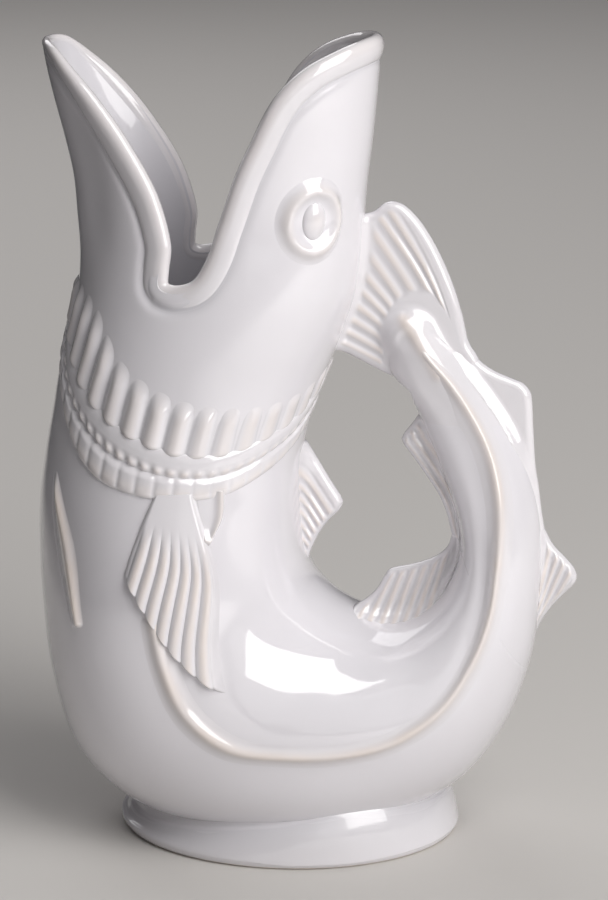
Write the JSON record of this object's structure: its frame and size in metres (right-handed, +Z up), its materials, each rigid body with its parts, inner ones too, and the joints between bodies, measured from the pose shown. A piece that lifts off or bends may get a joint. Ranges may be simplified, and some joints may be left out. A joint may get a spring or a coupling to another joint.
{
  "type": "gurgle jug",
  "caption": "Fish-shaped ceramic pouring jug: the open jaws are the spout, the curled hollow tail is the handle, and it stands on an oval foot.",
  "frame": {"origin": "on the table, under the middle of the jug's overall length, in the middle plane", "axes": "+Z up, +X from the spout side towards the back of the tail, +Y towards the jug's right side as the fish faces the spout side; the pictured side is -Y"},
  "size_m": [0.1686, 0.1008, 0.2518],
  "materials": {
    "white_glaze": "gloss",
    "relief_glaze": "gloss"
  },
  "bodies": {
    "root": {"head_shell": "white_glaze", "belly_shell": "white_glaze", "tail_handle": "white_glaze", "foot_ring": "white_glaze", "mouth_lip": "relief_glaze", "gill_collar": "relief_glaze", "beaded_band_upper": "relief_glaze", "beaded_band_lower": "relief_glaze", "pectoral_fin_left": "relief_glaze", "pectoral_fin_right": "relief_glaze", "fin_lobe_left": "relief_glaze", "fin_lobe_right": "relief_glaze", "pelvic_fin_left": "relief_glaze", "pelvic_fin_right": "relief_glaze", "eye_ring_left": "white_glaze", "eye_ring_right": "white_glaze", "eye_pupil_left": "white_glaze", "eye_pupil_right": "white_glaze", "lateral_ridge_left": "relief_glaze", "lateral_ridge_right": "relief_glaze", "tail_fin": "relief_glaze", "back_fin": "relief_glaze", "inner_tail_fin_lower": "relief_glaze", "inner_tail_fin_upper": "relief_glaze", "outer_tail_fin_upper": "relief_glaze", "outer_tail_fin_lower": "relief_glaze"}
  },
  "joints": []
}
